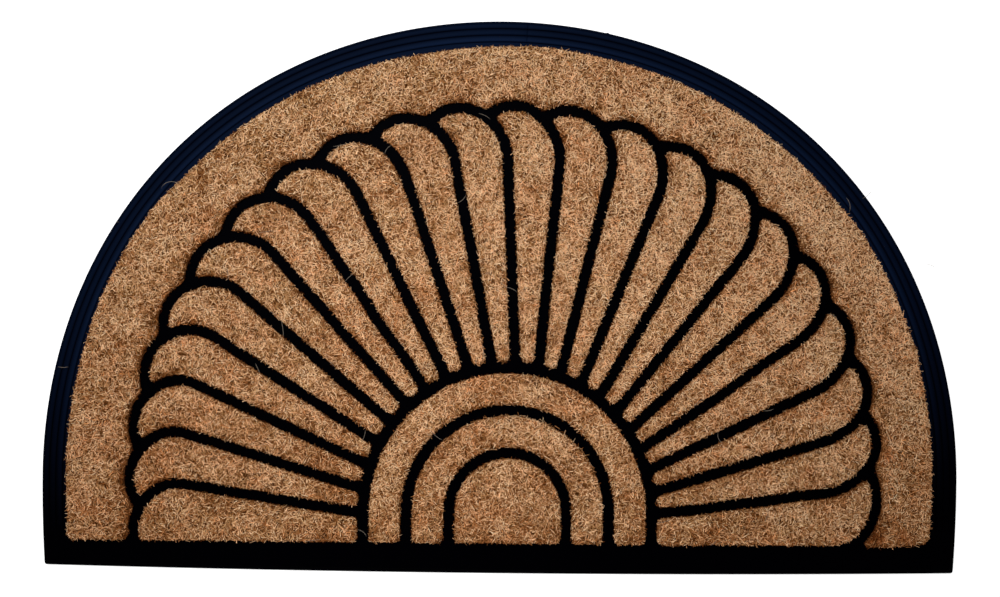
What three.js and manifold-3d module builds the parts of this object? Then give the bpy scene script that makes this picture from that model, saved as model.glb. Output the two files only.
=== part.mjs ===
// Half-round doormat: a moulded rubber tray with coir panels set in its pockets.
// The panels form a border, a fan of hooked petals, two arched bands and a half disc.
// Millimetres. X runs along the straight edge, Y towards the top of the arch, Z up.
// The origin lies on the floor under the middle of the mat.

import * as THREE from "three";
import { mergeVertices } from "three/addons/utils/BufferGeometryUtils.js";
import Module from "manifold-3d";

const wasm = await Module();
wasm.setup();

// The mat's outline, about the centre of its arch
const matWidth = 750;
const squareness = 0.0056; // share by which the arch swells at 45 degrees and draws in at 0 and 90
const edgeDropAtMiddle = 77.7; // from the arch's centre down to the straight edge
const edgeDropAtCorner = 73.9;
const legDrawIn = 3.2; // how far each short leg leans inwards on its way down to its corner
const cornerRadius = 2;

// Heights over the floor
const pocketFloor = 3;
const rubberTop = 5;
const coirTop = 13;
const lipHeight = 3.2;

// The rim: a low lip all around, and ribs that step up to the coir along the legs and the arch,
// each with a groove at its inner end
const lipWidth = 2.2;
const ribs = [
  { end: 6.1, height: 4.1 },
  { end: 11.4, height: 4.4 },
  { end: 17, height: 4.7 },
];
const grooveWidth = 1.1;
const grooveFloor = 3.6;

// The coir. Its outer edge is squarish too, about a point a little above the arch's centre
const clearance = 0.3; // between a panel and the rubber around and under it
const coirEdge = { radius: 352.7, rise: 2.4 };
const baseDrop = 52; // from the arch's centre down to the coir's straight lower edge
const borderCornerRadius = 4;
const panelCornerRadius = 2.6;

// The arched bands stand on the coir's lower edge, a little to the right of the arch's centre
const bandCentre = { x: 6.5, drop: 26.3 };
const halfDiscRadius = 43;
const bands = [
  { name: "inner_band", inner: 52.8, outer: 77.6 },
  { name: "outer_band", inner: 87.8, outer: 112.6 },
];

// The fan. A line of rubber runs from its foot, on a circle about the bands' centre,
// to its bend, on a circle about the fan's centre, and then hooks over the petal before it.
// Lean and sway shift the even pitch a little, as on the mat.
const fanCentre = { x: 3.3, drop: 0.2 };
const petalCount = 22;
const lineWidth = 9.8;
const foot = { radius: 122.8, firstAngle: 180.8, pitch: 9.05, lean: 2.7 };
const bend = { radius: 264.2, firstAngle: 181.3, pitch: 9.15, sway: 0.5 };
const hook = { rise: 27.8, crestRadius: 320.2, crestAngle: 6, endRadius: 302.9, endAngle: 11.6 };
const lastHookLag = 2; // degrees by which the last hook, which has no line, sits lower

// Steps along the curves
const archSteps = 96;
const legSteps = 3;
const bowSteps = 12;
const hookSteps = 10;
const bandStep = 7.5; // degrees
const cornerSteps = 2;
const sharpTurn = 30; // degrees; corners that turn by more are rounded

const degree = Math.PI / 180;
const matDepth = matWidth / 2 + edgeDropAtMiddle;
const archCentreY = edgeDropAtMiddle - matDepth / 2;
const archRadius = matWidth / 2 / (1 - squareness);
const baseY = archCentreY - baseDrop;
const bandY = archCentreY - bandCentre.drop;
const fanY = archCentreY - fanCentre.drop;
const beyond = 6; // how far a helper line or a cut runs past what it trims

const point = (x, y) => new THREE.Vector2(x, y);
const backwards = (line) => [...line].reverse();

function steps(count, pointAt) {
  return Array.from({ length: count + 1 }, (_, i) => pointAt(i / count));
}

// A point at an angle about a centre, on a circle as squarish as the rim
function onSquarish(centre, radius, angle) {
  const reach = radius * (1 - squareness * Math.cos(4 * angle * degree));
  const outward = point(Math.cos(angle * degree), Math.sin(angle * degree));
  return centre.clone().addScaledVector(outward, reach);
}

const onArch = (radius, angle) => onSquarish(point(0, archCentreY), radius, angle);
const onFan = (radius, angle) => onSquarish(point(fanCentre.x, fanY), radius, angle);

function onBandCircle(radius, angle) {
  const x = bandCentre.x + radius * Math.cos(angle * degree);
  return point(x, bandY + radius * Math.sin(angle * degree));
}

// The mat's edge less an inset, up the right leg, over the arch and down the left leg
function archPath(inset) {
  const drop = edgeDropAtMiddle + beyond;
  const leg = (side) => steps(legSteps, (t) => {
    const x = matWidth / 2 - inset - legDrawIn * t * t;
    return point(side * x, archCentreY - drop * t);
  }).slice(1);
  const arch = steps(archSteps, (t) => {
    const outward = point(Math.cos(Math.PI * t), Math.sin(Math.PI * t));
    return onArch(archRadius, 180 * t).addScaledVector(outward, -inset);
  });
  return [...backwards(leg(1)), ...arch, ...leg(-1)];
}

// The straight edge less an inset, from left to right; its middle bows out a little
function straightPath(inset) {
  const bow = edgeDropAtMiddle - edgeDropAtCorner;
  return steps(bowSteps, (t) => {
    const u = 2 * t - 1;
    const y = archCentreY - edgeDropAtMiddle + bow * u * u + inset;
    return point(u * (matWidth / 2 + beyond), y);
  });
}

// The border's outer edge, grown by an amount, in the same direction as the mat's
function coirEdgePath(grow) {
  const centre = point(0, archCentreY + coirEdge.rise);
  const radius = coirEdge.radius + grow;
  const arch = steps(archSteps, (t) => onSquarish(centre, radius, 180 * t));
  const below = (end) => point(end.x, baseY - beyond);
  return [below(arch[0]), ...arch, below(arch[archSteps])];
}

// The coir's lower edge on either side of the bands' centre, for panels grown by an amount
const leftBase = (grow) => [point(-matWidth, baseY - grow), point(bandCentre.x, baseY - grow)];
const rightBase = (grow) => [point(bandCentre.x, baseY - grow), point(matWidth, baseY - grow)];

// An arch about the bands' centre on upright legs, from its left foot to its right one
function bandPath(radius) {
  const low = baseY - beyond;
  return [
    point(bandCentre.x - radius, low),
    ...steps(180 / bandStep, (t) => onBandCircle(radius, 180 * (1 - t))),
    point(bandCentre.x + radius, low),
  ];
}

// Moves a line sideways, to the left of its own direction
function beside(line, distance) {
  return line.map((here, i) => {
    const from = line[Math.max(i - 1, 0)];
    const to = line[Math.min(i + 1, line.length - 1)];
    const along = to.clone().sub(from).normalize();
    return here.clone().addScaledVector(point(-along.y, along.x), distance);
  });
}

// The middle of one rubber line of the fan, from inside its foot to past the end of its hook
function fanLine(index) {
  const footAngle = foot.firstAngle - foot.pitch * index;
  const start = onBandCircle(foot.radius, footAngle - foot.lean * Math.sin(footAngle * degree));
  const even = bend.firstAngle - bend.pitch * index;
  const lag = index === petalCount - 1 ? lastHookLag : 0;
  const angle = even - bend.sway * Math.sin(2 * even * degree) - lag;
  const turning = onFan(bend.radius, angle);
  const along = turning.clone().sub(start).normalize();
  const curve = new THREE.CubicBezierCurve(
    turning,
    turning.clone().addScaledVector(along, hook.rise),
    onFan(hook.crestRadius, angle + hook.crestAngle),
    onFan(hook.endRadius, angle + hook.endAngle + lag),
  );
  const inside = start.addScaledVector(along, -2 * beyond);
  const past = curve.getPoint(1).addScaledVector(curve.getTangent(1), 2 * beyond);
  return [inside, ...curve.getPoints(hookSteps), past];
}

const fanLines = Array.from({ length: petalCount }, (_, index) => fanLine(index));
const leftOf = (line, grow) => beside(line, lineWidth / 2 - grow);
const rightOf = (line, grow) => beside(line, grow - lineWidth / 2);

// The last place along one line where it crosses another
function lastCrossing(first, second) {
  let last = null;
  for (let i = 1; i < first.length; i += 1) {
    for (let j = 1; j < second.length; j += 1) {
      const a = first[i].clone().sub(first[i - 1]);
      const b = second[j].clone().sub(second[j - 1]);
      const gap = second[j - 1].clone().sub(first[i - 1]);
      const t = gap.cross(b) / a.cross(b);
      const u = gap.cross(a) / a.cross(b);
      const onFirst = i - 1 + t;
      const meet = t >= 0 && t <= 1 && u >= 0 && u <= 1;
      if (meet && (!last || onFirst > last.onFirst)) {
        const place = first[i - 1].clone().addScaledVector(a, t);
        last = { place, onFirst, onSecond: j - 1 + u };
      }
    }
  }
  if (!last) throw new Error("two neighbouring lines of an outline do not cross");
  return last;
}

// The closed outline along a ring of lines, each cut off where it crosses its neighbours
function enclosed(lines) {
  const leaves = lines.map((line, i) => lastCrossing(line, lines[(i + 1) % lines.length]));
  return lines.flatMap((line, i) => {
    const enters = leaves[(i + lines.length - 1) % lines.length];
    const between = line.filter((_, j) => j > enters.onSecond + 0.1 && j < leaves[i].onFirst - 0.1);
    return [enters.place, ...between];
  });
}

function rounded(outline, radius) {
  const count = outline.length;
  return outline.flatMap((corner, i) => {
    const before = outline[(i + count - 1) % count].clone().sub(corner);
    const after = outline[(i + 1) % count].clone().sub(corner);
    const turn = Math.PI - Math.abs(before.angleTo(after));
    if (turn < sharpTurn * degree) return [corner];
    const cut = (side) => Math.min(radius * Math.tan(turn / 2), 0.45 * side.length());
    const start = corner.clone().addScaledVector(before.clone().normalize(), cut(before));
    const end = corner.clone().addScaledVector(after.clone().normalize(), cut(after));
    return new THREE.QuadraticBezierCurve(start, corner, end).getPoints(cornerSteps);
  });
}

// Each outline below may be grown by an amount, which makes the pocket of a panel

function petalOutline(index, grow) {
  const sides = [leftOf(fanLines[index], grow)];
  if (index > 0) sides.push(backwards(rightOf(fanLines[index - 1], grow)));
  else sides.push(leftBase(grow));
  sides.push(bandPath(foot.radius - grow));
  if (index === petalCount - 1) sides.push(rightBase(grow));
  return rounded(enclosed(sides), panelCornerRadius);
}

function borderOutline(grow) {
  const hooks = fanLines.map((line) => backwards(rightOf(line.slice(1), grow)));
  const sides = [coirEdgePath(grow), leftBase(grow), ...hooks, rightBase(grow)];
  return rounded(enclosed(sides), borderCornerRadius);
}

function bandOutline(band, grow) {
  const outer = backwards(bandPath(band.outer + grow));
  const inner = bandPath(band.inner - grow);
  return rounded(enclosed([outer, leftBase(grow), inner, rightBase(grow)]), panelCornerRadius);
}

function halfDiscOutline(grow) {
  const base = [leftBase(grow)[0], rightBase(grow)[1]];
  const arch = backwards(bandPath(halfDiscRadius + grow));
  return rounded(enclosed([arch, base]), panelCornerRadius);
}

// A strip of the rim between two insets, along the legs and the arch
function rimStrip(outerInset, innerInset) {
  const outer = archPath(outerInset);
  const inner = backwards(archPath(innerInset));
  return enclosed([outer, leftBase(0), inner, rightBase(0)]);
}

function slab(outline, low, high) {
  const options = { depth: high - low, bevelEnabled: false };
  return new THREE.ExtrudeGeometry(new THREE.Shape(outline), options).translate(0, 0, low);
}

function toSolid(geometry) {
  const bare = geometry.clone();
  bare.deleteAttribute("normal");
  bare.deleteAttribute("uv");
  const merged = mergeVertices(bare, 1e-4);
  return new wasm.Manifold(new wasm.Mesh({
    numProp: 3,
    vertProperties: new Float32Array(merged.attributes.position.array),
    triVerts: new Uint32Array(merged.index.array),
  }));
}

function toGeometry(solid) {
  const mesh = solid.getMesh();
  const geometry = new THREE.BufferGeometry();
  geometry.setAttribute("position", new THREE.BufferAttribute(mesh.vertProperties, 3));
  geometry.setIndex(new THREE.BufferAttribute(mesh.triVerts, 1));
  geometry.computeVertexNormals();
  return geometry;
}

const mat = new THREE.Group();

function addPiece(name, geometry, finish) {
  const mesh = new THREE.Mesh(geometry, new THREE.MeshStandardMaterial(finish));
  mesh.name = name;
  mat.add(mesh);
}

const coirFinish = { color: 0xb58a5c, roughness: 0.95, metalness: 0 };
const rubberFinish = { color: 0x14161c, roughness: 0.55, metalness: 0 };

// Every coir panel by name, each with its outline as a function of how far it is grown
const panels = [
  { name: "coir_border", outline: borderOutline },
  ...fanLines.map((_, k) => ({
    name: `petal_${String(k + 1).padStart(2, "0")}`,
    outline: (grow) => petalOutline(k, grow),
  })),
  ...bands.map((band) => ({ name: band.name, outline: (grow) => bandOutline(band, grow) })),
  { name: "half_disc", outline: halfDiscOutline },
];

// The rubber tray is one moulding: a sheet with a lip, ribs, grooves and a pocket for each panel
function rubberTray() {
  const edge = rounded(enclosed([archPath(0), straightPath(0)]), cornerRadius);
  const inLip = enclosed([archPath(lipWidth), straightPath(lipWidth)]);
  const outside = enclosed([archPath(-beyond), straightPath(-beyond)]);
  const top = rubberTop + beyond;
  let tray = toSolid(slab(edge, 0, rubberTop));
  const overLip = toSolid(slab(outside, lipHeight, top));
  tray = tray.subtract(overLip.subtract(toSolid(slab(inLip, 0, top + beyond))));
  ribs.forEach((rib) => {
    const groove = rimStrip(rib.end - grooveWidth / 2, rib.end + grooveWidth / 2);
    tray = tray.subtract(toSolid(slab(rimStrip(-beyond, rib.end), rib.height, top)));
    tray = tray.subtract(toSolid(slab(groove, grooveFloor, top)));
  });
  panels.forEach((panel) => {
    tray = tray.subtract(toSolid(slab(panel.outline(clearance), pocketFloor, top)));
  });
  return toGeometry(tray);
}

addPiece("rubber_tray", rubberTray(), rubberFinish);
panels.forEach((panel) => {
  addPiece(panel.name, slab(panel.outline(0), pocketFloor + clearance, coirTop), coirFinish);
});

export default mat;
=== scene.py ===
"""Looks of a half-round doormat: a moulded rubber tray with coir pile in its pockets."""

import math

import bpy
import numpy as np
from bpy.props import FloatProperty, FloatVectorProperty, IntProperty, PointerProperty
from bpy.types import Operator, Panel, PropertyGroup
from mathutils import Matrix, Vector
from mathutils.geometry import delaunay_2d_cdt


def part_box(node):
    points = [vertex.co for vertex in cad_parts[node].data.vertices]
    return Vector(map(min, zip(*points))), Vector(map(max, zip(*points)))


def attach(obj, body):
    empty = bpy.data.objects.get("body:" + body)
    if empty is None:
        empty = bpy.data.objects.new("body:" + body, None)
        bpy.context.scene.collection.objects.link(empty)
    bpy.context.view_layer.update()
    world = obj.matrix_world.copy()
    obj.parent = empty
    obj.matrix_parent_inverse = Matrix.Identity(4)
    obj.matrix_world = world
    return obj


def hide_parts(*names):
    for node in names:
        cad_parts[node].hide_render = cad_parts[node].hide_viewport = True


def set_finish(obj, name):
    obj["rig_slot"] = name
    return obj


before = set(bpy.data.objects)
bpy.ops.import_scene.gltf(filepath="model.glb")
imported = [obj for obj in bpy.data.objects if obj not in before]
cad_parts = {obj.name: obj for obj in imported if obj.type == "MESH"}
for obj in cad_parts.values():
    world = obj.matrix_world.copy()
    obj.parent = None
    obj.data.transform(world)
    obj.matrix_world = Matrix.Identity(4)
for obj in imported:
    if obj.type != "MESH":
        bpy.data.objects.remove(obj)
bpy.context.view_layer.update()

bl_info = {
    "name": "Half-round coir doormat",
    "version": (1, 0, 0),
    "blender": (4, 5, 0),
    "location": "View3D > Sidebar > Doormat",
    "description": "Builds a moulded rubber tray, coir panels and their pile",
    "category": "Add Mesh",
}

MM = 0.001

# The tray's outline, with angles about the arch's centre
TRAY_LOW, TRAY_HIGH = (np.array(v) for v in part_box("rubber_tray"))
HALF_WIDTH = (TRAY_HIGH[0] - TRAY_LOW[0]) / 2
TRAY_MIDDLE = np.array([0, -60 * MM])  # where the flat faces' rings shrink to
STRAIGHT_DROP = 77.7 * MM  # from the arch's centre to the middle of the straight edge
CORNER_DROP = 73.9 * MM  # from the arch's centre to the corners' height
BOW = STRAIGHT_DROP - CORNER_DROP
ARCH_Y = TRAY_LOW[1] + STRAIGHT_DROP
LEG_LEAN = 3.2 * MM
PAST_CORNER = 6 * MM  # how far past the corner the legs' and the straight edge's curves run
LEG_REACH = STRAIGHT_DROP + PAST_CORNER
BASE_REACH = HALF_WIDTH + PAST_CORNER
CORNER_ROUNDING = 2.2 * MM
LEAST_ROUNDING = 0.03 * MM
SQUARENESS = 0.0056  # the share of its radius by which the arch swings in and out
LEG_POINTS, ARCH_POINTS, BASE_POINTS, CORNER_POINTS = 20, 301, 121, 6
NUB_ANGLE = math.radians(76.9)  # where a nub of rubber stands out of the edge
NUB_HEIGHT, NUB_WIDTH, NUB_FADE = 0.7 * MM, 0.9 * MM, 1.5 * MM

# The tray's rim
SEAM_ANGLE = math.radians(87)  # where the mould's split line crosses the rim
SEAM_DEPTH, SEAM_WIDTH = 0.7 * MM, 0.35 * MM
RIB_POINTS = 15  # across each rib
RIB_ENDS = (6.1, 11.4, 17, 25)  # where each rib ends, mm from the edge
UNDER_COIR = 8 * MM  # how far the last rib runs on under the coir
LIP_PROFILE = (  # inset and height up the side and over the lip, mm
    (0.5, 0), (0.12, 0.1), (0, 0.5), (0, 2.3), (0.1, 2.75), (0.4, 3.1), (0.8, 3.2),
    (1.3, 3.2), (1.7, 3.05), (2.0, 2.8),
)
CROWNS = (  # each rib's share of the painted sheen, and a power that moves the crown inwards when over 1
    (1.1, 0.7), (1.1, 1.3), (1.8, 1.6), (1.25, 0.7),
)
# painted sheen on the lip and on the flat field
LIP_PAINTED_SHEEN, FIELD_PAINTED_SHEEN = 0.7, 0.9

# The coir
PETALS = sorted(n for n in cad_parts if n.startswith("petal_"))
BANDS = {"inner": "inner_band", "outer": "outer_band", "disc": "half_disc"}
PILE_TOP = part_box("half_disc")[1][2]
COIR_BASE_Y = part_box("half_disc")[0][1]
OUTLINE_STEP, OUTLINE_BLUR = 2 * MM, 1.5 * MM
BED_STEP = 4 * MM  # the square grid under the pile
BED_MARGIN = 1.6 * MM  # from the outline to the grid's nearest points
BED_SUNK = 2.2 * MM  # how far the bed lies under the pile's surface
BED_FOOT = 0.3 * MM  # how far the bed reaches into the rubber
AT_ONCE = 3000  # places that are compared with an outline at a time, to save memory
LOOSE_KNOTS, LOOSE_SIDES = 15, 5
LOOSE = (  # x, y, heading, length, turn and height of single loose fibres, mm and degrees
    (-21, 150, 350, 11, -30, 9.5),
    (-279, 84, 75, 24, -150, 9.5),
    (282, 71, 70, 13, 60, 12.6),
    (292, 83, 20, 11, 40, 12.6),
    (-312, 58, 170, 9, 30, 9.0),
    (-352, -60, 200, 9, -40, 9.0),
    (345, 30, 10, 9, -50, 9.0),
    (176, 138, 50, 12, 70, 9.5),
    (96, -55, 350, 18, 25, 12.7),
)
NUDGES = (  # x, y, reach and the push in x and y, mm: where the coir lies off its drawn line
    (-160, 66, 16, -1.5, -1.0),
    (-132, 27, 16, -1.5, -1.0),
    (-99, -20, 16, -1.2, -0.8),
    (-96, 107, 16, -1.2, -0.7),
    (-32, 88, 18, -0.8, 0.0),
    (37, 145, 14, -1.1, -0.9),
    (246, -38, 16, -1.0, 1.2),
    (218, -63, 16, -1.0, 1.2),
    (165, -176, 16, 0.0, -1.2),
    (214, -169, 16, 0.0, -1.2),
    (271, -155, 16, 0.5, -1.2),
    (293, -94, 14, 1.0, -0.8),
    (-267, 3, 45, -1.1, 0.4),
    (357, -203, 16, -2.2, 3.4),
    (303, -184, 12, -1.2, -0.8),
    (180, -205, 14, 0.0, 1.0),
    (222, -204, 14, 0.0, 1.0),
    (263, -204, 14, 0.0, 1.0),
    (-352, -182, 12, 1.2, 0.0),
    (49, 159, 9, 0.0, 1.4),
    (185, 107, 9, 0.0, 1.2),
    (210, 82, 9, 0.6, 0.8),
    (8, -110, 60, 0.6, 0.1),
)
SWELLINGS = (  # angle and reach in degrees, and height in mm, along the coir's outer edge
    (50, 9, -0.7), (84, 4, 1.1), (102, 8, -1.2), (17.5, 1.5, 1.6),
)
TONES = (  # x, y, reach in mm, and how much paler and how much redder the coir is there
    (-345, -155, 35, 0.19, 0),
    (8, -180, 24, 0.12, 0),
    (-2, -87, 16, -0.12, 0.05),
    (335, -110, 70, 0, -0.06),
    (318, -127, 3, -0.1, 0.6),
    (308, -192, 5, -0.35, 0.35),
    (329, -194, 4, -0.4, 0.35),
    (323, -155, 2.5, 0.4, -0.3),
    (252, -140, 4, -0.15, 0.35),
    (240, -125, 4, -0.15, 0.35),
    (-317, -130, 2.5, -0.6, 0.3),
    (-231, 112, 2.5, -0.5, 0.2),
    (-246, 96, 2, -0.6, 0.2),
    (-202, 134, 2.5, -0.4, 0.2),
    (75, 208, 10, -0.05, 0.25),
    (108, 200, 10, -0.05, 0.2),
    (8, -96, 5, 0.25, -0.1),
    (31, -101, 5, 0.25, -0.1),
    (46, -111, 5, 0.25, -0.1),
)

# The stage
FLOOR_SIZE = 12
FLOOR_DROP = 0.2 * MM  # under the mat, so that no two faces share a plane
LAMP_PLACE = (-0.35, 0.55, 2.0)
LAMP_AIM = (-0.085, 0.0, 0)
LAMP_RADIUS, LAMP_SPREAD = 0.3, math.radians(31)
PHOTO_SPAN = 1000 * 0.8202 * MM  # the photo's width: its pixels, and the size of one in mm
SCALE_HEIGHT = 3 * MM  # the height over the floor where that span holds
SENSOR_WIDTH = 36
CAMERA_SHIFT = (-1.1 * MM, -1.0 * MM)


# What the pieces share


def new_material(name, roughness, specular):
    """A material, its node tree and its main shader."""
    material = bpy.data.materials.new(name)
    material.use_nodes = True
    tree = material.node_tree
    shader = next(n for n in tree.nodes if n.type == "BSDF_PRINCIPLED")
    shader.inputs["Roughness"].default_value = roughness
    shader.inputs["Specular IOR Level"].default_value = specular
    return material, tree, shader


def add_node(tree, kind, **inputs):
    """A node with its sockets set, where an input that is a socket is linked."""
    node = tree.nodes.new(kind)
    for name, value in inputs.items():
        socket = node.inputs[name.replace("_", " ")]
        if isinstance(value, bpy.types.NodeSocket):
            tree.links.new(value, socket)
        else:
            socket.default_value = value
    return node


def make_piece(name, vertices, faces, material, slot, smooth=False):
    """A mesh object from arrays of places and of triangles, which rides the mat's one body."""
    mesh = bpy.data.meshes.new(name)
    count, corners = len(faces), faces.shape[1]
    mesh.vertices.add(len(vertices))
    mesh.vertices.foreach_set("co", vertices.astype(np.float32).ravel())
    mesh.loops.add(count * corners)
    mesh.loops.foreach_set("vertex_index", faces.astype(np.int32).ravel())
    mesh.polygons.add(count)
    mesh.polygons.foreach_set("loop_start", np.arange(count, dtype=np.int32) * corners)
    mesh.polygons.foreach_set("use_smooth", np.full(count, smooth))
    mesh.update(calc_edges=True)
    mesh.validate()
    mesh.materials.append(material)
    piece = bpy.data.objects.new(name, mesh)
    bpy.context.scene.collection.objects.link(piece)
    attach(piece, "root")
    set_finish(piece, slot)
    return piece


def patches(places, cell, seed):
    """Soft patches from -1 to 1: random values on a square lattice, eased between its knots."""
    lattice = np.random.default_rng(seed).uniform(-1, 1, (128, 128))
    at = places[:, :2] / cell + 64
    knot = np.floor(at).astype(int)
    part = at - knot
    part = part * part * (3 - 2 * part)
    (i, j), (u, v) = knot.T % 128, part.T
    k, m = (i + 1) % 128, (j + 1) % 128
    near = lattice[i, j] * (1 - u) + lattice[k, j] * u
    far = lattice[i, m] * (1 - u) + lattice[k, m] * u
    return near * (1 - v) + far * v


def eased(x):
    """0 below 0, 1 above 1 and an S curve between."""
    x = np.clip(x, 0, 1)
    return x * x * (3 - 2 * x)


# The rubber tray


def tray_ring(inset):
    """The tray's edge less an inset, anticlockwise from the right corner, for each inset in an
    array. The legs are y = -t and x = half the width less lean times t squared, the arch is a
    circle that swells at 45 degrees, and the straight edge is a shallow parabola. Short curves
    round the corners."""
    inset = inset[:, None]
    t = np.full_like(inset, 0.9)
    for _ in range(6):  # each round brings t nearer to where the leg meets the straight edge
        corner_x = HALF_WIDTH - inset - LEG_LEAN * t * t
        u = corner_x / BASE_REACH
        t = (STRAIGHT_DROP - BOW * u * u - inset) / LEG_REACH
    rounding = np.maximum(CORNER_ROUNDING - inset, LEAST_ROUNDING)
    low = t - rounding / LEG_REACH
    up = low * np.linspace(1, 0, LEG_POINTS)[None, :-1]
    leg_x = HALF_WIDTH - inset - LEG_LEAN * up * up
    leg_y = ARCH_Y - LEG_REACH * up
    near = np.array([-1, -0.45, -0.2, 0, 0.2, 0.45, 1]) * MM / HALF_WIDTH
    angle = np.linspace(0, np.pi, ARCH_POINTS)
    angle = np.sort(np.concatenate([angle, SEAM_ANGLE + near, NUB_ANGLE + 2 * near]))[None, :]
    nub = NUB_HEIGHT * np.exp(-((angle - NUB_ANGLE) * HALF_WIDTH / NUB_WIDTH) ** 2)
    nub = nub * np.exp(-inset / NUB_FADE)
    radius = HALF_WIDTH / (1 - SQUARENESS) * (1 - SQUARENESS * np.cos(4 * angle)) - inset + nub
    arch_x, arch_y = radius * np.cos(angle), ARCH_Y + radius * np.sin(angle)

    def straight_y(x):
        u = x / BASE_REACH
        return ARCH_Y - STRAIGHT_DROP + BOW * u * u + inset

    base_x = (corner_x - rounding) * np.linspace(-1, 1, BASE_POINTS)[None, :]
    base_y = straight_y(base_x)
    bend = np.linspace(0, 1, CORNER_POINTS)[None, 1:-1]
    side_x, side_y = leg_x[:, :1], leg_y[:, :1]
    end_x, end_y = base_x[:, -1:], base_y[:, -1:]
    corner_y = straight_y(corner_x)
    round_x = end_x * (1 - bend) ** 2 + 2 * corner_x * bend * (1 - bend) + side_x * bend**2
    round_y = end_y * (1 - bend) ** 2 + 2 * corner_y * bend * (1 - bend) + side_y * bend**2
    x = np.hstack([leg_x, arch_x, -leg_x[:, ::-1], -round_x[:, ::-1], base_x, round_x])
    y = np.hstack([leg_y, arch_y, leg_y[:, ::-1], round_y[:, ::-1], base_y, round_y])
    return x, y


def rib_height(inset, low, high, start, end):
    """A rib between two insets: a flat-topped hump whose sides fall steeply at both ends."""
    u = np.clip((inset - (start + end) / 2) / ((end - start) / 2), -1, 1)
    return low + (high - low) * np.sqrt(1 - u**6)


def rim_profile(settings):
    """Insets from the lip to under the coir, and the heights there with ribs and without."""
    lip, groove = settings.lip_width, settings.groove_floor
    ends = np.array([lip, *(end * MM for end in RIB_ENDS)])
    turn = (1 - np.cos(np.linspace(0, np.pi, RIB_POINTS))) / 2
    insets, ribbed = [], []
    for k, (start, end) in enumerate(zip(ends[:-1], ends[1:])):
        across, hidden = (start + (end - start) * turn)[:-1], 0
        if k == len(RIB_ENDS) - 1:
            across, hidden = np.append(across, end), UNDER_COIR
        height = settings.rib_height + k * settings.rib_step
        insets.append(across)
        ribbed.append(rib_height(across, groove, height, start, end + hidden))
    inset = np.concatenate(insets)
    plain = groove + (settings.field_height - groove) * eased((inset - lip) / (1.2 * MM))
    return inset, np.concatenate(ribbed), plain


def painted_rib_sheen(x, y):
    """How much painted navy sheen the rim shows, as a painted reflection: most on the ribs' crowns
    and towards the arch's top.
    """
    across = np.linspace(0, 1, RIB_POINTS)[:-1]
    crowns = [
        gain * (0.08 + 0.92 * np.sin(np.pi * across**late) ** 1.2) for gain, late in CROWNS
    ]
    crown = np.concatenate([np.full(len(LIP_PROFILE), LIP_PAINTED_SHEEN), *crowns, [FIELD_PAINTED_SHEEN]])
    # the painted reflection grows towards the arch's top and peaks near its middle
    upper = eased((y + 200 * MM - 0.05 * x) / (230 * MM))
    from_top = np.degrees(np.arctan2(y - ARCH_Y, x)) - 93
    upper = upper * (1 + 0.3 * np.exp(-((from_top / 9) ** 2)))
    return crown[:, None] * upper


def drawn_in(ring, share):
    """A ring whose places are drawn in to a share of their way from the tray's middle."""
    ring = ring.copy()
    ring[:, :2] = TRAY_MIDDLE + (ring[:, :2] - TRAY_MIDDLE) * share
    return ring


def closed_rows(grid, poles):
    """Vertices and triangles of rings of places, each closed on itself, with a pole at each
    end."""
    count = grid.shape[1]
    vertices = np.vstack([grid.reshape(-1, grid.shape[2]), poles])
    row, column = np.meshgrid(np.arange(len(grid) - 1), np.arange(count), indexing="ij")
    after = (column + 1) % count
    quads = np.stack([
        row * count + column, row * count + after,
        (row + 1) * count + after, (row + 1) * count + column,
    ], -1).reshape(-1, 4)
    own = np.arange(count)
    following = (own + 1) % count
    low_pole, top_pole = len(vertices) - 2, len(vertices) - 1
    top = (len(grid) - 1) * count
    return vertices, np.vstack([
        quads[:, [0, 1, 2]],
        quads[:, [0, 2, 3]],
        np.stack([np.full(count, low_pole), following, own], 1),
        np.stack([np.full(count, top_pole), top + own, top + following], 1),
    ])


def mould_tray(settings):
    """A profile carried round the tray's edge: lip, ribs and flat field. Rows run inwards from
    the bottom's middle, round the lip and over the rim to the top's middle. Returns places,
    triangles and each place's painted sheen, a painted reflection."""
    inset, ribbed, plain = rim_profile(settings)
    lip = np.array(LIP_PROFILE) * MM
    x, y = tray_ring(np.concatenate([lip[:, 0], inset]))
    rim_x, rim_y = x[len(lip):], y[len(lip):]
    shade = eased((rim_y - COIR_BASE_Y - 2 * MM) / (14 * MM))
    rim_z = plain[:, None] * (1 - shade) + ribbed[:, None] * shade
    past_seam = (np.arctan2(rim_y - ARCH_Y, rim_x) - SEAM_ANGLE) * HALF_WIDTH
    rim_z = rim_z - SEAM_DEPTH * np.exp(-((past_seam / SEAM_WIDTH) ** 2))
    z = np.vstack([np.repeat(lip[:, 1:], x.shape[1], 1), rim_z])
    # painted sheen: a painted reflection on the ribs
    sheen = painted_rib_sheen(x, y) * np.vstack([np.repeat(shade[:1], len(lip), 0), shade])
    rim = np.stack([x, y, z, sheen], -1)
    field = rim[-1].copy()
    field[:, 2:] = settings.field_height, 0
    grid = np.concatenate([
        [drawn_in(rim[0], share) for share in (0.25, 0.5, 0.8)],
        rim,
        [drawn_in(field, share) for share in (0.92, 0.75, 0.5, 0.25)],
    ])
    poles = [[*TRAY_MIDDLE, 0, 0], [*TRAY_MIDDLE, settings.field_height, 0]]
    vertices, triangles = closed_rows(grid, poles)
    return vertices[:, :3], triangles, vertices[:, 3]


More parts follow.
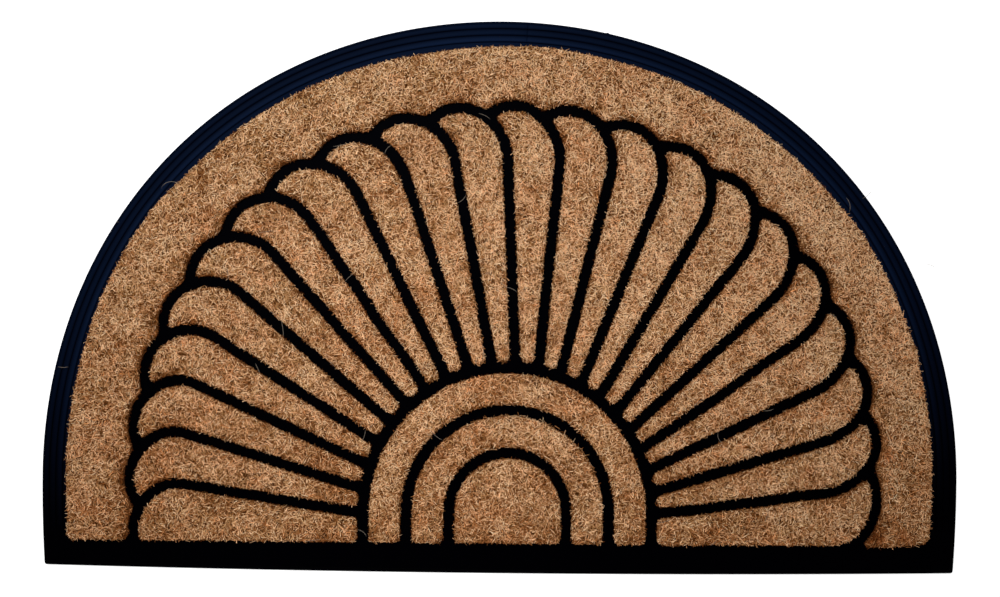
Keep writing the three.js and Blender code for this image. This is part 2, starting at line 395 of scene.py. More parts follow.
def rubber_material(settings):
    """Black rubber with a fine moulded grain, and a painted navy sheen on the ribs, a painted
    reflection.
    """
    material, tree, shader = new_material("black rubber", settings.roughness, 0.004)
    # the painted sheen, held in the tray's ribbed attribute
    ribs = add_node(tree, "ShaderNodeAttribute")
    ribs.attribute_name = "ribbed"
    # mixes the rubber's own colour with the painted sheen's colour
    painted_light_and_tones = tree.nodes.new("ShaderNodeMix")
    painted_light_and_tones.data_type = "RGBA"
    painted_light_and_tones.clamp_factor = False
    tree.links.new(ribs.outputs["Fac"], painted_light_and_tones.inputs["Factor"])
    painted_light_and_tones.inputs[6].default_value = (*settings.colour, 1)
    painted_light_and_tones.inputs[7].default_value = (*settings.painted_sheen_colour, 1)
    tree.links.new(painted_light_and_tones.outputs[2], shader.inputs["Base Color"])
    shader.inputs["Specular Tint"].default_value = (0.6, 0.7, 1, 1)
    where = add_node(tree, "ShaderNodeTexCoord").outputs["Object"]
    grain = add_node(tree, "ShaderNodeTexNoise", Vector=where, Scale=700.0, Detail=3.0)
    bump = add_node(
        tree, "ShaderNodeBump", Strength=0.25, Distance=0.0004, Height=grain.outputs["Fac"]
    )
    tree.links.new(bump.outputs["Normal"], shader.inputs["Normal"])
    return material


# The coir


def outline_of(node):
    """The outline of a panel's top, anticlockwise. The mesh's doubles are merged on whole
    micrometres, and the edges that only one top triangle has are put in order by doubling the
    steps that each looks back."""
    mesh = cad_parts[node].data
    places = np.empty(len(mesh.vertices) * 3, np.float32)
    mesh.vertices.foreach_get("co", places)
    corners = np.empty(len(mesh.loops), np.int32)
    mesh.loops.foreach_get("vertex_index", corners)
    knots, merged = np.unique(
        np.round(places.reshape(-1, 3) * 1e6).astype(np.int64), axis=0, return_inverse=True
    )
    faces = merged.ravel()[corners.reshape(-1, 3)]
    faces = faces[(knots[faces, 2] > knots[:, 2].max() - 10).all(1)]
    edges = np.vstack([faces[:, [0, 1]], faces[:, [1, 2]], faces[:, [2, 0]]])
    codes = edges @ np.array([len(knots), 1])
    edges = edges[~np.isin(codes, edges[:, ::-1] @ np.array([len(knots), 1]))]
    own = np.sort(edges[:, 0])
    here, there = np.searchsorted(own, edges[:, 0]), np.searchsorted(own, edges[:, 1])
    back = np.empty(len(own), int)
    back[there] = here
    back[0] = 0
    walked = (np.arange(len(own)) > 0).astype(int)
    for _ in range(math.ceil(math.log2(len(own)))):
        walked = walked + walked[back]
        back = back[back]
    return knots[own[np.argsort(walked)], :2] * 1e-6


def evened(outline, spacing, smoothing):
    """The outline at even steps, blurred along its length by a bell curve."""
    closed = np.vstack([outline, outline[:1]])
    along = np.append(0, np.cumsum(np.hypot(*np.diff(closed, axis=0).T)))
    count = int(round(along[-1] / spacing))
    at = np.arange(count) * along[-1] / count
    wave = np.fft.fft(np.interp(at, along, closed[:, 0]) + 1j * np.interp(at, along, closed[:, 1]))
    wave *= np.exp(-2 * (np.pi * np.fft.fftfreq(count) * smoothing / spacing) ** 2)
    smooth = np.fft.ifft(wave)
    return np.stack([smooth.real, smooth.imag], 1)


def swelling(outline):
    """Pushes that make the border's outer edge swell at both sides and at the seam, and draw it
    in beside the swellings. Its inner edge and its straight ends stay."""
    away = outline - [0, ARCH_Y]
    radius = np.linalg.norm(away, axis=1)
    angle = np.degrees(np.arctan2(away[:, 1], away[:, 0]))
    angle = np.where(angle < -90, 180, np.maximum(angle, 0))
    height = 1.8 * eased((40 - angle) / 5) + 2.6 * eased((angle - 136) / 6)
    for centre, reach, bell in SWELLINGS:
        height += bell * np.exp(-(((angle - centre) / reach) ** 2))
    outer = eased((radius - 325 * MM) / (20 * MM))
    over_ends = eased((outline[:, 1] + 202 * MM) / (6 * MM))
    return (height * (outer * over_ends) * MM / radius)[:, None] * away


def nudged(outline, node):
    """The outline with the nudges' pushes, each fading like a bell, and with the border's
    swellings."""
    pushed = outline.copy()
    for x, y, reach, *push in NUDGES:
        square = ((outline - np.array([x, y]) * MM) ** 2).sum(1)
        pushed += np.exp(-square / (2 * (reach * MM) ** 2))[:, None] * np.array(push) * MM
    if node == "coir_border":
        pushed += swelling(outline)
    return pushed


def outward_of(outline):
    """Unit vectors that point out of an anticlockwise outline."""
    along = np.roll(outline, -1, 0) - np.roll(outline, 1, 0)
    along /= np.linalg.norm(along, axis=1, keepdims=True)
    return np.stack([along[:, 1], -along[:, 0]], 1)


def depths(places, outline):
    """How deep each place lies inside the outline, less than 0 outside, and the direction out."""
    outward = outward_of(outline)
    nearest = np.concatenate([
        ((part[:, None] - outline[None]) ** 2).sum(-1).argmin(1)
        for part in np.array_split(places.astype(np.float32), len(places) // AT_ONCE + 1)
    ])
    out = outward[nearest]
    away = places - outline[nearest]
    straight = -(away * out).sum(1)
    return np.where(straight < 0, straight, np.maximum(straight, np.hypot(*away.T) * 0.8)), out


def pile_height(places, depth):
    """The height of the pile's surface: uneven by soft patches, and falling away at the edges."""
    lumps = 0.5 * patches(places, 26 * MM, 3) + 0.35 * patches(places, 9 * MM, 4)
    shoulder = 1.9 * np.exp(-depth / (1.7 * MM))
    return PILE_TOP - (1.3 - 0.7 * lumps + shoulder) * MM


def painted_edge_shade(places, depth, out):
    """From 0 to 1, how much painted shade a place gets near an edge: how near it is to the border's
    inner edge or to an edge that looks down.
    """
    away = places - [0, ARCH_Y]
    radius = np.linalg.norm(away, axis=1)
    inward = -(away * out).sum(1) / radius * eased((radius - 150 * MM) / (80 * MM))
    down = -0.35 * np.minimum(out[:, 1], 0)
    return np.exp(-depth / (3.8 * MM)) * eased((inward + down) * 1.4 - 0.1)


def square_grid(outline, step):
    """A square grid of places over the outline's box."""
    spans = (np.arange(a, b, step) for a, b in zip(outline.min(0), outline.max(0)))
    return np.stack(np.meshgrid(*spans), -1).reshape(-1, 2)


def wound(faces, places, upwards):
    """The triangles among some faces, all turned to face up or all turned to face down."""
    faces = np.array([f for f in faces if len(f) == 3])
    a, b, c = (places[faces[:, k]] for k in range(3))
    first = (b[:, 0] - a[:, 0]) * (c[:, 1] - a[:, 1])
    second = (b[:, 1] - a[:, 1]) * (c[:, 0] - a[:, 0])
    turned = first < second if upwards else first > second
    faces[turned] = faces[turned][:, ::-1]
    return faces


def slab(outline):
    """A closed panel: a wall carried round the outline, and a top a little under the pile's
    surface, on the outline's points and a square grid inside it."""
    grid = square_grid(outline, BED_STEP)
    depth, _ = depths(grid, outline)
    inner = grid[depth > BED_MARGIN]
    count = len(outline)
    flat = np.vstack([outline, inner])
    ring = [(i, (i + 1) % count) for i in range(count)]
    found, _, faces, *_ = delaunay_2d_cdt([Vector(p) for p in flat], ring, [], 1, 1e-7)
    found = np.array([tuple(p) for p in found])
    depth, _ = depths(found, outline)
    height = pile_height(found, np.maximum(depth, 0)) - BED_SUNK
    top = np.column_stack([found, height])
    bottom = np.column_stack([found[:count], np.full(count, TRAY_HIGH[2] - BED_FOOT)])
    own, after = np.arange(count), (np.arange(count) + 1) % count
    under = len(top)
    wall = np.vstack([
        np.stack([own, under + own, under + after], 1),
        np.stack([own, under + after, after], 1),
    ])
    _, _, base, *_ = delaunay_2d_cdt([Vector(p) for p in outline], ring, [], 1, 1e-7)
    faces, base = wound(faces, found, True), wound(base, outline, False)
    return np.vstack([top, bottom]), np.vstack([faces, wall, base + under])


def join(parts):
    """Several (vertices, faces) as one."""
    starts = np.cumsum([0] + [len(v) for v, _ in parts[:-1]])
    return np.vstack([v for v, _ in parts]), np.vstack([f + s for (_, f), s in zip(parts, starts)])


def top_fibres(rng, outline, coir, ragged):
    """Fibres that lie on the pile at all angles, one to each cell of a shaken grid. Their ends pass
    the outline by a little, and near it they turn outwards and are slimmer. Returns both ends, how
    light each is in painted shade that darkens deep fibres, its painted edge shade and how wide it
    is."""
    step = 1 / math.sqrt(coir.density)
    middle = square_grid(outline, step)
    middle = middle + rng.uniform(-0.75, 0.75, middle.shape) * step
    depth, out = depths(middle, outline)
    inside = depth > 0
    middle, depth, out = middle[inside], depth[inside], out[inside]
    count = len(middle)
    heading = rng.uniform(0, 2 * np.pi, count)
    way = np.stack([np.cos(heading), np.sin(heading)], 1)
    pull = np.exp(-depth / (1.5 * MM))[:, None] * rng.uniform(0, 1.6, (count, 1))
    way = way + pull * out
    way /= np.linalg.norm(way, axis=1, keepdims=True)
    rise = np.radians(rng.uniform(2, 38, count))
    length = coir.fibre_length * np.exp(rng.normal(0, 0.28, count))
    past = ragged(middle, out) * rng.uniform(0, 1, count) ** 3 - 0.4 * MM
    pushed = np.where(depth < 2.5 * MM, 0.7 * np.maximum(past, 0), 0)
    middle, depth, past = middle + out * pushed[:, None], depth - pushed, past + 0.3 * pushed
    across = np.abs((way * out).sum(1)) * np.cos(rise) + 1e-3
    length = np.minimum(length, np.maximum(2 * (depth + past) / across, 1.2 * MM))
    sunk = rng.uniform(0, 1, count) ** 1.3
    depth = np.maximum(depth, 0)
    height = pile_height(middle, depth) + (0.5 - 2.7 * sunk) * MM
    half = np.column_stack([way * np.cos(rise)[:, None], np.sin(rise)]) * length[:, None] / 2
    centre = np.column_stack([middle, height])
    slim = 1 - 0.4 * np.exp(-depth / (1.2 * MM))
    # the third value is painted shade: fibres that lie deeper are darker
    return centre - half, centre + half, 1 - 0.78 * sunk**1.3, painted_edge_shade(middle, depth, out), slim


def wall_fibres(rng, outline, coir):
    """Fibres that stand along the panel's wall, with their feet spread, painted darker towards the
    foot as shade.
    """
    around = np.linalg.norm(np.roll(outline, -1, 0) - outline, axis=1).sum()
    count = int(around * coir.wall_density)
    at = rng.uniform(0, len(outline), count)
    knot = at.astype(int)
    part = (at - knot)[:, None]
    foot = outline[knot] * (1 - part) + outline[(knot + 1) % len(outline)] * part
    out = outward_of(outline)[knot]
    side = np.stack([-out[:, 1], out[:, 0]], 1)
    level = rng.uniform(0, 1, (count, 1))
    spread = (1.5 * (1 - level) ** 1.5 - 0.5) * MM
    start = foot + out * (spread + rng.uniform(-0.4, 0.5, (count, 1)) * MM)
    end = start - out * rng.uniform(-0.2, 0.9, (count, 1)) * MM
    end += side * rng.normal(0, 1.0, (count, 1)) * MM
    low = TRAY_HIGH[2] + (0.1 + 4.0 * level[:, 0]) * MM
    high = low + rng.uniform(1.6, 3.0, count) * MM
    # painted shade: darker towards the wall's foot
    shade = 0.16 + 0.6 * level[:, 0]
    edge_shading = painted_edge_shade(foot, np.zeros(count), out)
    slim = np.full(count, 0.8)
    return np.column_stack([start, low]), np.column_stack([end, high]), shade, edge_shading, slim


def fibre_mesh(rng, start, end, width):
    """Slim closed fibres of four triangles each: a cross edge at each end, with a quarter turn
    between them."""
    along = end - start
    length = np.linalg.norm(along, axis=1, keepdims=True)
    along = along / length
    upright = np.abs(along[:, 2:]) > 0.9
    across = np.cross(along, np.where(upright, [[1.0, 0, 0]], [[0, 0, 1.0]]))
    across /= np.linalg.norm(across, axis=1, keepdims=True)
    above = np.cross(across, along)
    count = len(start)
    roll = np.radians(rng.uniform(15, 75, (count, 1))) * rng.choice([-1, 1], (count, 1))
    half = width / 2 * np.exp(rng.normal(0, 0.22, (count, 1)))
    first = half * (np.cos(roll) * across + np.sin(roll) * above)
    second = 0.75 * half * (np.cos(roll) * above - np.sin(roll) * across)
    vertices = np.stack([start + first, start - first, end + second, end - second], 1)
    edges = vertices[:, 1:] - vertices[:, :1]
    turned = np.einsum("ij,ij->i", edges[:, 0], np.cross(edges[:, 1], edges[:, 2])) < 0
    plan = np.array([[0, 2, 1], [0, 1, 3], [0, 3, 2], [1, 2, 3]])
    plans = np.where(turned[:, None, None], plan[None, :, ::-1], plan[None])
    faces = plans + 4 * np.arange(count)[:, None, None]
    return vertices.reshape(-1, 3), faces.reshape(-1, 3)


def painted_light_and_tones(places):
    """How much paler and redder the coir is at each place: painted light and shade in a saddle that
    rises to the upper right and falls towards the straight edge, and a bell for each listed spot."""
    x, y = places[:, 0] / 0.1, places[:, 1] / 0.1
    # painted light and shade: a broad saddle of lightness over the coir
    paler = 0.08 + 0.045 * x + 0.04 * y + 0.02 * x * y - 0.04 * y * y
    redder = np.zeros(len(places))
    for centre_x, centre_y, reach, pale, red in TONES:
        square = (places[:, 0] - centre_x * MM) ** 2 + (places[:, 1] - centre_y * MM) ** 2
        bell = np.exp(-square / (2 * (reach * MM) ** 2))
        paler += pale * bell
        redder += red * bell
    return paler, redder


def fibre_colours(rng, places, shade, edge_shading, coir):
    """Each fibre's colour: between russet and straw, with painted shade that makes it darker and
    warmer where it lies deep, at an edge and by a broad saddle, paler or duller at listed spots,
    with dark flecks. Green and blue fall faster than red."""
    count = len(places)
    straw, russet, dark = np.array([coir.straw, coir.russet, coir.dark])
    pale = 0.53 + 0.22 * patches(places, 7 * MM, 11) + 0.14 * patches(places, 30 * MM, 12)
    # painted light: paler towards the top of the mat; painted edge shade turns the fibres russet
    pale += 0.06 * places[:, 1] / 0.1 - 0.45 * edge_shading
    blend = np.clip(rng.normal(pale, 0.22), 0, 1)[:, None]
    soft = sum(
        share * patches(places, cell * MM, seed)
        for share, cell, seed in ((0.22, 13, 15), (0.26, 3.2, 16))
    )
    paler, redder = painted_light_and_tones(places)
    # the random lightness and the soft patches are the fibres' own; the edge term and the saddle in
    # paler are painted shade
    light = np.exp(rng.normal(0, coir.contrast, count) + soft - 0.22 * edge_shading + paler)
    bright = (light * shade)[:, None]
    warmer = np.minimum(bright, 1.1) ** np.array([0, 0.4, 1.0])
    colour = (russet * (1 - blend) + straw * blend) * bright * warmer
    # dark flecks: partly the fibres' own dark colour, partly painted shade in the gaps between
    # fibres; more of them at edges in painted shade
    flecked = 0.07 + 0.35 * eased(patches(places, 3.5 * MM, 14) * 1.6 - 0.6) + 0.2 * edge_shading
    fleck = rng.uniform(0, 1, count) < flecked
    colour = np.where(fleck[:, None], dark * bright, colour)
    colour *= np.exp(-redder[:, None] * np.array([0, 0.5, 0.8]))
    return colour / np.maximum(1, colour.max(1, keepdims=True) / 0.88)


def fibre_map(mesh, count):
    """Gives every fibre a square of its own in a UV map named OFBake."""
    side = math.ceil(math.sqrt(count))
    cell = np.stack([np.arange(count) % side, np.arange(count) // side], 1)
    corner = np.array([[0.2, 0.2], [0.8, 0.2], [0.2, 0.8]])
    spots = np.tile(corner, (4, 1))[None] + cell[:, None]
    layer = mesh.uv_layers.new(name="OFBake")
    layer.uv.foreach_set("vector", (spots / side).astype(np.float32).ravel())


def lay_pile(name, fibres, rng, coir):
    """One object of fibres from their starts, ends, painted shades, painted edge shade and widths.
    """
    start, end, shade, edge_shading, slim = fibres
    vertices, faces = fibre_mesh(rng, start, end, coir.fibre_width * slim[:, None])
    colours = fibre_colours(rng, start, shade, edge_shading, coir)
    pile = make_piece(name, vertices, faces, material_named("coir fibres"), "coir")
    mesh = pile.data
    tint = mesh.attributes.new("fibre colour", "FLOAT_COLOR", "POINT")
    rgba = np.ones((len(colours), 4, 4), np.float32)
    # painted shade: each fibre's lower, root end is darker than its tip
    rgba[:, :, :3] = colours[:, None] * np.array([0.85, 0.85, 1.08, 1.08])[None, :, None]
    tint.data.foreach_set("color", rgba.ravel())
    fibre_map(mesh, len(start))
    return pile


def fibre_material():
    """Dry fibres in the colours that the mesh holds."""
    material, tree, shader = new_material("coir fibres", 0.9, 0.03)
    tint = add_node(tree, "ShaderNodeAttribute")
    tint.attribute_name = "fibre colour"
    tree.links.new(tint.outputs["Color"], shader.inputs["Base Color"])
    return material


def bed_material(coir):
    """The tangled coir under the top fibres, painted dark: its colours are halved as painted shade
    deep in the pile.
    """
    material, tree, shader = new_material("coir bed", 0.95, 0.03)
    where = add_node(tree, "ShaderNodeTexCoord").outputs["Object"]
    tangle = add_node(tree, "ShaderNodeTexNoise", Vector=where, Scale=900.0, Detail=4.0)
    ramp = add_node(tree, "ShaderNodeValToRGB", Fac=tangle.outputs["Fac"])
    for stop, place, colour in zip(ramp.color_ramp.elements, (0.35, 0.7), (coir.dark, coir.russet)):
        stop.position = place
        # the coir's colours at half strength: painted shade deep in the pile
        stop.color = (*(0.5 * c for c in colour), 1)
    tree.links.new(ramp.outputs["Color"], shader.inputs["Base Color"])
    return material


def material_named(name):
    """A material that has been made already."""
    found = bpy.data.materials.get(name)
    if found is None:
        raise RuntimeError(f"the material {name!r} isn't made yet")
    return found


def even_overhang(coir):
    """The overhang of a panel whose fibres pass its edge by the same length all round."""
    return lambda middle, out: np.full(len(middle), coir.overhang)


def frayed_overhang(coir):
    """The overhang of a band that is frayed along the upper right of its outer edge."""
    def overhang(middle, out):
        angle = np.degrees(np.arctan2(out[:, 1], out[:, 0]))
        return coir.overhang * (1 + 1.1 * eased((angle - 10) / 30) * eased((125 - angle) / 30))
    return overhang


def lay_panels(slab_name, nodes, piles, seed, coir, ragged):
    """Slabs for the nodes as one piece, and their fibres in one object for each named part."""
    outlines = [nudged(evened(outline_of(n), OUTLINE_STEP, OUTLINE_BLUR), n) for n in nodes]
    vertices, faces = join([slab(o) for o in outlines])
    bed = make_piece(slab_name, vertices, faces, material_named("coir bed"), "coir")
    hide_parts(*nodes)
    rng = np.random.default_rng(seed)
    kinds = [
        kind
        for outline in outlines
        for kind in (top_fibres(rng, outline, coir, ragged), wall_fibres(rng, outline, coir))
    ]
    owner = np.repeat(np.arange(len(kinds)) // 2, [len(k[0]) for k in kinds])
    fibres = [np.concatenate(x) for x in zip(*kinds)]
    for name, belongs in piles.items():
        keep = belongs(owner, fibres[0])
        lay_pile(name, [x[keep] for x in fibres], rng, coir)


def loose_fibres(rng, coir):
    """Thin tubes that lie loose on the mat: circles' arcs whose turn grows evenly along them, five
    sided and pointed at both ends. Rows hold a start, a heading, a length, a turn and a height."""
    shown = np.array(LOOSE)
    crossed = (*PETALS, "inner_band")
    edges = np.vstack([evened(outline_of(n), 2 * OUTLINE_STEP, OUTLINE_BLUR) for n in crossed])
    count = coir.loose
    start = edges[rng.integers(0, len(edges), count)] / MM
    scattered = np.column_stack([
        start, rng.uniform(0, 360, count), rng.uniform(6, 15, count), rng.normal(0, 40, count),
        np.full(count, PILE_TOP / MM - 0.2),
    ])
    x, y, heading, length, turn, height = np.vstack([shown, scattered]).T[:, :, None]
    along = np.linspace(0, 1, LOOSE_KNOTS)[None, :]
    way = np.radians(heading + turn * along)
    step = length * MM / (LOOSE_KNOTS - 1)
    line = np.stack([
        x * MM + np.cumsum(np.cos(way), 1) * step,
        y * MM + np.cumsum(np.sin(way), 1) * step,
        height * MM + 0.5 * MM * np.sin(np.pi * along),
    ], -1)
    radius = coir.loose_width / 2 * np.clip(4 * np.minimum(along, 1 - along) + 0.1, 0, 1)
    around = np.arange(LOOSE_SIDES) * 2 * np.pi / LOOSE_SIDES
    side = np.stack([-np.sin(way), np.cos(way), 0 * way], -1)
    up = np.array([0, 0, 1.0])
    tube = line[:, :, None] + radius[..., None, None] * (
        np.cos(around)[None, None, :, None] * side[:, :, None]
        + np.sin(around)[None, None, :, None] * up
    )
    size = LOOSE_KNOTS * LOOSE_SIDES
    row, column = np.meshgrid(np.arange(LOOSE_KNOTS - 1), np.arange(LOOSE_SIDES), indexing="ij")
    a, b = row * LOOSE_SIDES + column, row * LOOSE_SIDES + (column + 1) % LOOSE_SIDES
    quads = np.stack([b, b + LOOSE_SIDES, a + LOOSE_SIDES, a], -1).reshape(-1, 4)
    sides = np.vstack([quads[:, [0, 1, 2]], quads[:, [0, 2, 3]]])
    fan = np.array([[0, 1, 2], [0, 2, 3], [0, 3, 4]])
    faces = np.vstack([sides, fan[:, ::-1], fan + size - LOOSE_SIDES])
    faces = (faces[None] + size * np.arange(len(line))[:, None, None]).reshape(-1, 3)
    return tube.reshape(-1, 3), faces


def loose_material():
    """Pale, dry single fibres."""
    material, _, shader = new_material("loose fibres", 0.8, 0.1)
    shader.inputs["Base Color"].default_value = (0.22, 0.18, 0.14, 1)
    return material


# The stage


def lay_floor(settings):
    """A pale floor that glows a little, as the photo's ground is an even white."""
    bpy.ops.mesh.primitive_plane_add(size=FLOOR_SIZE, location=(0, 0, -FLOOR_DROP))
    floor = bpy.context.object
    floor.name = "floor"
    material, _, shader = new_material("pale floor", 0.9, 0.1)
    shader.inputs["Base Color"].default_value = (*settings.floor, 1)
    shader.inputs["Emission Color"].default_value = (1, 1, 1, 1)
    shader.inputs["Emission Strength"].default_value = 0.5
    floor.data.materials.append(material)


def light(scene, settings):
    """Even light from all round, and one soft lamp from the upper left."""
    world = bpy.data.worlds.new("even light")
    world.use_nodes = True
    sky = world.node_tree.nodes["Background"]
    sky.inputs["Color"].default_value = (1, 1, 1, 1)
    sky.inputs["Strength"].default_value = settings.sky
    scene.world = world
    lamp = bpy.data.lights.new("soft lamp", "SPOT")
    lamp.shadow_soft_size = LAMP_RADIUS
    lamp.spot_size = LAMP_SPREAD
    lamp.spot_blend = 1
    lamp.energy = settings.lamp
    holder = bpy.data.objects.new("soft lamp", lamp)
    holder.location = LAMP_PLACE
    aim = Vector(LAMP_AIM) - holder.location
    holder.rotation_euler = aim.to_track_quat("-Z", "Y").to_euler()
    scene.collection.objects.link(holder)


def set_camera(scene, settings):
    """A camera that looks straight down, takes in the photo's span and is turned as it is."""
    camera = bpy.data.cameras.new("camera")
    camera.sensor_width = SENSOR_WIDTH
    camera.lens = SENSOR_WIDTH * (settings.camera_height - SCALE_HEIGHT) / PHOTO_SPAN
    eye = bpy.data.objects.new("camera", camera)
    eye.location = (*CAMERA_SHIFT, settings.camera_height)
    eye.rotation_euler = (0, 0, settings.roll)
    scene.collection.objects.link(eye)
    scene.camera = eye


# Settings


class TraySettings(PropertyGroup):
    lip_width: FloatProperty(
        name="Lip width", description="Width of the low lip at the edge", default=0.0022,
        unit="LENGTH", subtype="DISTANCE",
    )
    groove_floor: FloatProperty(
        name="Groove floor", description="Height of the grooves' floors", default=0.0032,
        unit="LENGTH", subtype="DISTANCE",
    )
    rib_height: FloatProperty(
        name="Rib height", description="Height of the outermost rib", default=0.0041,
        unit="LENGTH", subtype="DISTANCE",
    )
    rib_step: FloatProperty(
        name="Rib step", description="How much higher each rib is than the one outside it",
        default=0.0003, unit="LENGTH", subtype="DISTANCE",
    )
    field_height: FloatProperty(
        name="Field height", description="Height of the rubber between the panels",
        default=TRAY_HIGH[2], unit="LENGTH", subtype="DISTANCE",
    )
    colour: FloatVectorProperty(
        name="Rubber", description="Colour of the rubber", default=(0.00018, 0.0001, 0.0004),
        subtype="COLOR", min=0, max=1,
    )
    # the colour of the painted sheen on the ribs, a painted reflection
    painted_sheen_colour: FloatVectorProperty(
        name="Ribs", description="Colour of the ribbed rim", default=(0.0017, 0.0041, 0.0126),
        subtype="COLOR", min=0, max=1,
    )
    roughness: FloatProperty(
        name="Roughness", description="How dull the rubber is", default=0.42,
        min=0, max=1, subtype="FACTOR",
    )


class CoirSettings(PropertyGroup):
    fibre_length: FloatProperty(
        name="Fibre length", description="Usual length of a fibre", default=0.0041,
        unit="LENGTH", subtype="DISTANCE",
    )
    fibre_width: FloatProperty(
        name="Fibre width", description="Usual width of a fibre", default=0.00073,
        unit="LENGTH", subtype="DISTANCE",
    )
    overhang: FloatProperty(
        name="Overhang", description="How far fibres pass a panel's edge", default=0.0021,
        unit="LENGTH", subtype="DISTANCE",
    )
    density: FloatProperty(
        name="Density", description="Fibres on a square metre of pile", default=1080000,
    )
    wall_density: FloatProperty(
        name="Wall density", description="Fibres on a metre of wall", default=1500,
    )
    contrast: FloatProperty(
        name="Contrast", description="How much fibres differ in lightness", default=0.41,
    )
    loose: IntProperty(
        name="Loose fibres", description="How many loose fibres lie over the lines", default=36,
    )
    loose_width: FloatProperty(
        name="Loose width", description="Width of a loose fibre", default=0.0003,
        unit="LENGTH", subtype="DISTANCE",
    )
    straw: FloatVectorProperty(
        name="Straw", description="Colour of the palest fibres", default=(0.96, 0.655, 0.375),
        subtype="COLOR", min=0, max=1,
    )
    russet: FloatVectorProperty(
        name="Russet", description="Colour of the warmest fibres", default=(0.5, 0.2, 0.068),
        subtype="COLOR", min=0, max=1,
    )
    dark: FloatVectorProperty(
        name="Dark", description="Colour of the dark flecks", default=(0.12, 0.036, 0.008),
        subtype="COLOR", min=0, max=1,
    )


class StageSettings(PropertyGroup):
    floor: FloatVectorProperty(
        name="Floor", description="Colour of the floor", default=(0.92, 0.92, 0.92),
        subtype="COLOR", min=0, max=1,
    )
    lamp: FloatProperty(
        name="Lamp", description="Power of the soft lamp", default=160, unit="POWER",
    )
    sky: FloatProperty(name="Sky", description="Strength of the even light", default=0.5)
    camera_height: FloatProperty(
        name="Camera height", description="Height of the camera over the floor", default=1.2,
        unit="LENGTH", subtype="DISTANCE",
    )
    roll: FloatProperty(
        name="Roll", description="How far the camera is turned about its own line of sight",
        default=math.radians(0.58), unit="ROTATION", subtype="ANGLE",
    )


# Operators


class DOORMAT_OT_tray(Operator):
    """Mould the rubber tray with its lip, ribs and grooves"""

    bl_idname = "doormat.tray"
    bl_label = "Mould the tray"

    def execute(self, context):
        settings = context.scene.doormat_tray
        # the third array is the rim's painted sheen, kept in the ribbed attribute
        vertices, faces, ribbed = mould_tray(settings)
        tray = make_piece(
            "tray", vertices, faces, rubber_material(settings), "rubber", smooth=True
        )
        painted_sheen_mask = tray.data.attributes.new("ribbed", "FLOAT", "POINT")
        painted_sheen_mask.data.foreach_set("value", ribbed.astype(np.float32))
        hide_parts("rubber_tray")
        return {"FINISHED"}


class DOORMAT_OT_border(Operator):
    """Lay the coir border along the rim"""

    bl_idname = "doormat.border"
    bl_label = "Lay the border"

    def execute(self, context):
        coir = context.scene.doormat_coir

        def slice_of(low, high):
            def belongs(_, start):
                angle = np.arctan2(start[:, 1] - ARCH_Y, start[:, 0]) % (2 * np.pi)
                angle = np.where(angle > 1.5 * np.pi, 0, angle)
                return (angle >= np.radians(low)) & (angle < np.radians(high))
            return belongs

        lay_panels(
            "border", ["coir_border"],
            {
                "border_pile_right": slice_of(-1, 52),
                "border_pile_top": slice_of(52, 128),
                "border_pile_left": slice_of(128, 361),
            },
            21, coir, even_overhang(coir),
        )
        return {"FINISHED"}


class DOORMAT_OT_petals(Operator):
    """Lay the fan of hooked petals"""

    bl_idname = "doormat.petals"
    bl_label = "Lay the petals"

    def execute(self, context):
        coir = context.scene.doormat_coir
        lay_panels(
            "petals", PETALS,
            {
                "petal_pile_left": lambda owner, _: owner < 7,
                "petal_pile_middle": lambda owner, _: (owner >= 7) & (owner < 15),
                "petal_pile_right": lambda owner, _: owner >= 15,
            },
            31, coir, even_overhang(coir),
        )
        return {"FINISHED"}


class DOORMAT_OT_bands(Operator):
    """Lay the two arched bands and the half disc"""

    bl_idname = "doormat.bands"
    bl_label = "Lay the bands and the half disc"

    def execute(self, context):
        coir = context.scene.doormat_coir
        for seed, (name, node) in enumerate(BANDS.items()):
            lay_panels(
                f"{name}_bed", [node], {f"{name}_pile": lambda owner, _: owner == 0},
                41 + seed, coir,
                frayed_overhang(coir) if node == "inner_band" else even_overhang(coir),
            )
        return {"FINISHED"}


class DOORMAT_OT_loose(Operator):
    """Scatter loose fibres over the panels and the lines between them"""

    bl_idname = "doormat.loose"
    bl_label = "Scatter loose fibres"

    def execute(self, context):
        vertices, faces = loose_fibres(np.random.default_rng(51), context.scene.doormat_coir)
        make_piece("loose_fibres", vertices, faces, loose_material(), "coir", smooth=True)
        return {"FINISHED"}


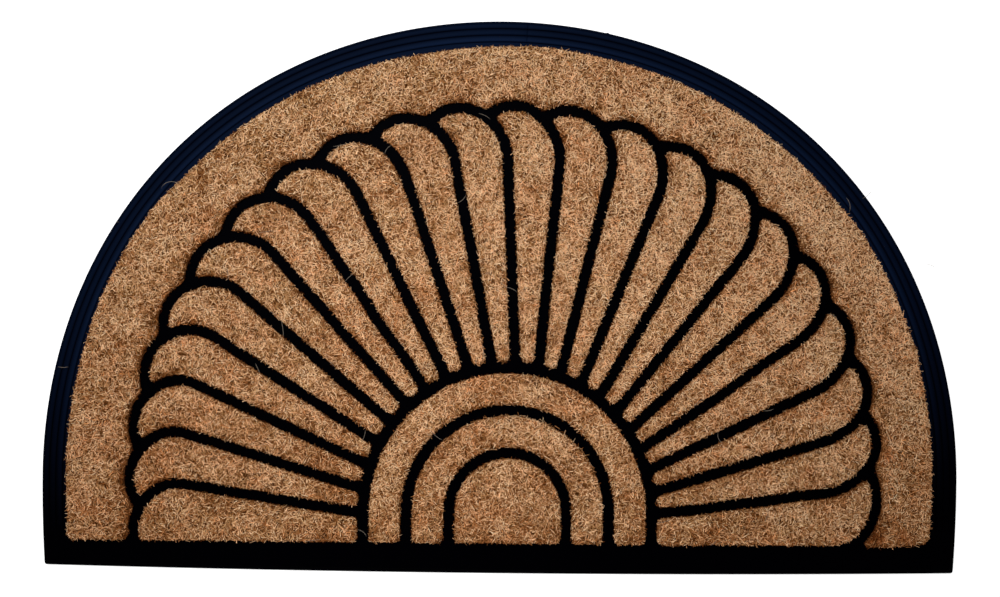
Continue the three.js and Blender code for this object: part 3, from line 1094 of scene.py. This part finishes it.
class DOORMAT_OT_sheet(Operator):
    bl_idname = "doormat.sheet"
    # this step does nothing: no sheet is declared
    bl_label = "Declare the sheet"

    def execute(self, context):
        return {"FINISHED"}


class DOORMAT_OT_stage(Operator):
    """Set the floor, the light and the camera"""

    bl_idname = "doormat.stage"
    bl_label = "Set the stage"

    def execute(self, context):
        scene = context.scene
        settings = scene.doormat_stage
        scene.view_settings.view_transform = "Standard"
        lay_floor(settings)
        light(scene, settings)
        set_camera(scene, settings)
        return {"FINISHED"}


class DOORMAT_PT_panel(Panel):
    """The doormat's steps, in order"""

    bl_idname = "DOORMAT_PT_panel"
    bl_label = "Doormat"
    bl_space_type = "VIEW_3D"
    bl_region_type = "UI"
    bl_category = "Doormat"

    def draw(self, context):
        for settings in (context.scene.doormat_tray, context.scene.doormat_coir,
                         context.scene.doormat_stage):
            box = self.layout.box()
            for name in settings.__annotations__:
                box.prop(settings, name)
        for step in STEPS:
            self.layout.operator(step.bl_idname)


STEPS = (
    DOORMAT_OT_tray, DOORMAT_OT_border, DOORMAT_OT_petals, DOORMAT_OT_bands,
    DOORMAT_OT_loose, DOORMAT_OT_sheet, DOORMAT_OT_stage,
)
SETTINGS = {
    "doormat_tray": TraySettings, "doormat_coir": CoirSettings, "doormat_stage": StageSettings,
}


def register():
    for kind in (*SETTINGS.values(), *STEPS, DOORMAT_PT_panel):
        bpy.utils.register_class(kind)
    for name, kind in SETTINGS.items():
        setattr(bpy.types.Scene, name, PointerProperty(type=kind))


def unregister():
    for name in SETTINGS:
        delattr(bpy.types.Scene, name)
    for kind in (DOORMAT_PT_panel, *reversed(STEPS), *SETTINGS.values()):
        bpy.utils.unregister_class(kind)


def main():
    register()
    coir = bpy.context.scene.doormat_coir
    fibre_material()
    bed_material(coir)
    bpy.ops.doormat.tray()
    bpy.ops.doormat.border()
    bpy.ops.doormat.petals()
    bpy.ops.doormat.bands()
    bpy.ops.doormat.loose()
    bpy.ops.doormat.sheet()
    bpy.ops.doormat.stage()


if __name__ == "__main__":
    main()
